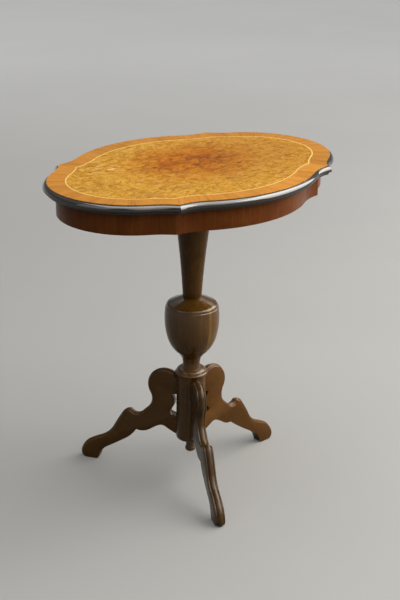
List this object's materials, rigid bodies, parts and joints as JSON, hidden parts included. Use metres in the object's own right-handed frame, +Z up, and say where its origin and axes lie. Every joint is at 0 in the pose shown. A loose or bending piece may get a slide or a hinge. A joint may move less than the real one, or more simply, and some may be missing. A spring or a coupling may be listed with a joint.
{
  "type": "pedestal side table",
  "caption": "Side table with a shaped veneered top, dark moulded edge and deep apron on a tapered column with a turned urn and scroll-cut legs",
  "frame": {"origin": "On the floor, under the axis of the column", "axes": "X along the long axis of the top, Y across it, Z up; the right leg points along +X"},
  "size_m": [0.7122, 0.5122, 0.73],
  "materials": {
    "burr_veneer": "french polished",
    "banding_veneer": "french polished",
    "stringing": "french polished",
    "edge_moulding": "ebonised and polished",
    "apron_veneer": "french polished",
    "turned_wood": "french polished",
    "leg_wood": "french polished",
    "carcase_wood": "unfinished softwood",
    "screws": "dull"
  },
  "bodies": {
    "root": {"apron_core_back": "carcase_wood", "apron_core_front": "carcase_wood", "apron_core_left": "carcase_wood", "apron_core_right": "carcase_wood", "apron_veneer_back": "apron_veneer", "apron_veneer_front": "apron_veneer", "apron_veneer_left": "apron_veneer", "apron_veneer_right": "apron_veneer", "banding_back_1": "banding_veneer", "banding_back_2": "banding_veneer", "banding_back_3": "banding_veneer", "banding_back_4": "banding_veneer", "banding_front_1": "banding_veneer", "banding_front_2": "banding_veneer", "banding_front_3": "banding_veneer", "banding_front_4": "banding_veneer", "banding_left_1": "banding_veneer", "banding_left_2": "banding_veneer", "banding_left_3": "banding_veneer", "banding_left_4": "banding_veneer", "banding_right_1": "banding_veneer", "banding_right_2": "banding_veneer", "banding_right_3": "banding_veneer", "banding_right_4": "banding_veneer", "bearer": "carcase_wood", "bearer_screws": "screws", "burr_field": "burr_veneer", "corner_block_back_left": "carcase_wood", "corner_block_back_right": "carcase_wood", "corner_block_front_left": "carcase_wood", "corner_block_front_right": "carcase_wood", "drop_finial": "turned_wood", "edge_moulding_back": "edge_moulding", "edge_moulding_front": "edge_moulding", "edge_moulding_left": "edge_moulding", "edge_moulding_right": "edge_moulding", "hub": "turned_wood", "leg_dowels": "carcase_wood", "leg_front": "leg_wood", "leg_left": "leg_wood", "leg_left_root": "leg_wood", "leg_right": "leg_wood", "rub_block_back_left": "carcase_wood", "rub_block_back_right": "carcase_wood", "rub_block_front_left": "carcase_wood", "rub_block_front_right": "carcase_wood", "rub_block_left": "carcase_wood", "rub_block_right": "carcase_wood", "shaft": "turned_wood", "string_back": "stringing", "string_front": "stringing", "string_left": "stringing", "string_right": "stringing", "tenon_wedge": "carcase_wood", "top_board": "carcase_wood", "urn_left_half": "turned_wood", "urn_right_half": "turned_wood"}
  },
  "joints": []
}
